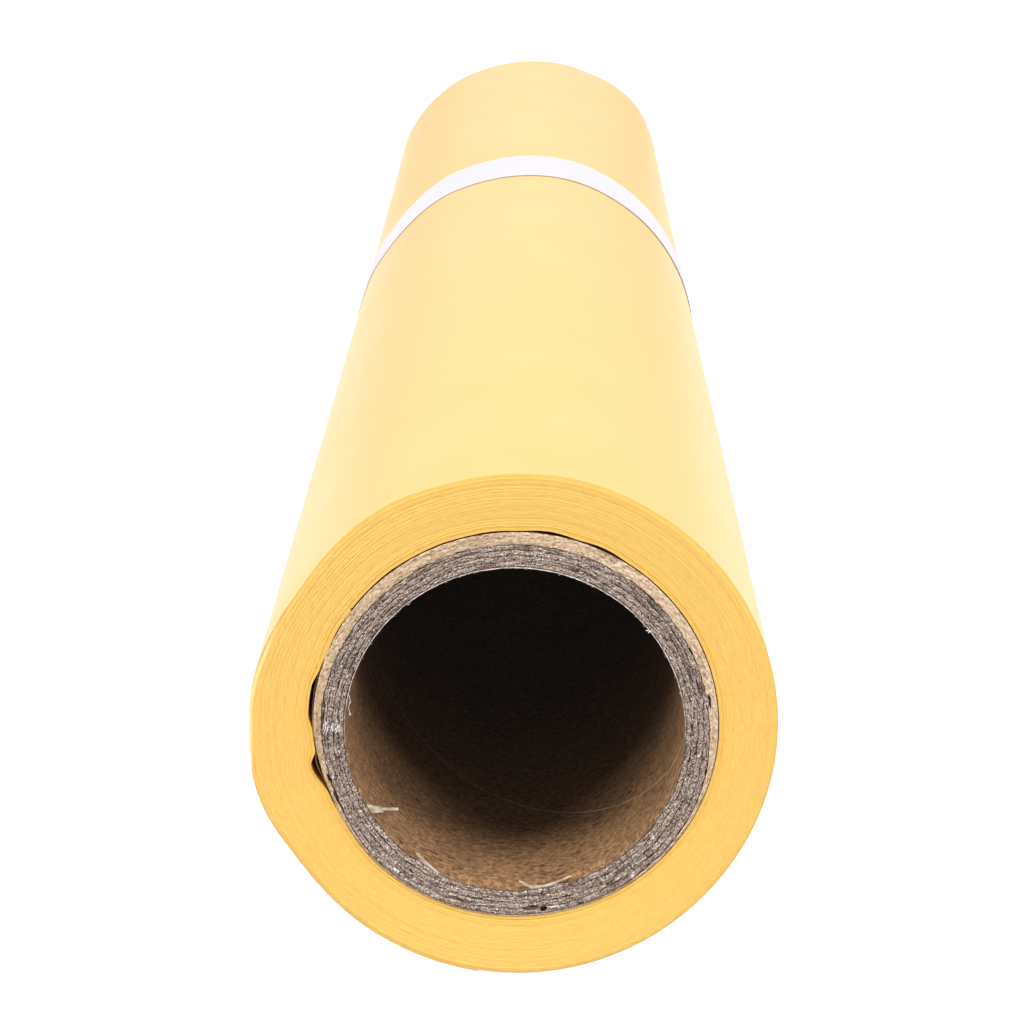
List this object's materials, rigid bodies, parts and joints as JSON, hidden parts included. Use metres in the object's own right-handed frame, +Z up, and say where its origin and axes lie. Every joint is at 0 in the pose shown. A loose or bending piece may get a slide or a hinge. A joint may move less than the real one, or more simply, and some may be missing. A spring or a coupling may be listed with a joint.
{
  "type": "roll of sign vinyl",
  "caption": "Long roll of yellow self-adhesive film on a spirally wound paper core, held shut by a white paper band.",
  "frame": {"origin": "centre of the core's bore, at mid length of the roll", "axes": "+Y along the roll from its near end to its far end, +Z up with the roll lying down, +X to the right seen from the near end"},
  "size_m": [0.0804, 0.5, 0.0799],
  "materials": {
    "vinyl": "satin yellow film on its release liner",
    "kraft_liner": "brown kraft, matt",
    "chipboard": "grey cut fibre, rough",
    "kraft_outer": "tan kraft, rough cut",
    "tape": "translucent tape",
    "band_paper": "white paper, matt",
    "glue": "dried paper glue"
  },
  "bodies": {
    "roll": {"core_bore_liner": "kraft_liner", "core_grey_ply_1": "chipboard", "core_grey_ply_2": "chipboard", "core_grey_ply_3": "chipboard", "core_grey_ply_4": "chipboard", "core_outer_ply": "kraft_outer", "start_tape": "tape", "first_lap": "vinyl", "wound_web": "vinyl", "last_lap": "vinyl"},
    "band": {"paper_band": "band_paper", "band_glue": "glue"}
  },
  "joints": [
    {"name": "band_slide", "type": "slide", "parent": "roll", "child": "band", "axis": [0, 1, 0], "range_m": [-0.278, 0.02]}
  ]
}
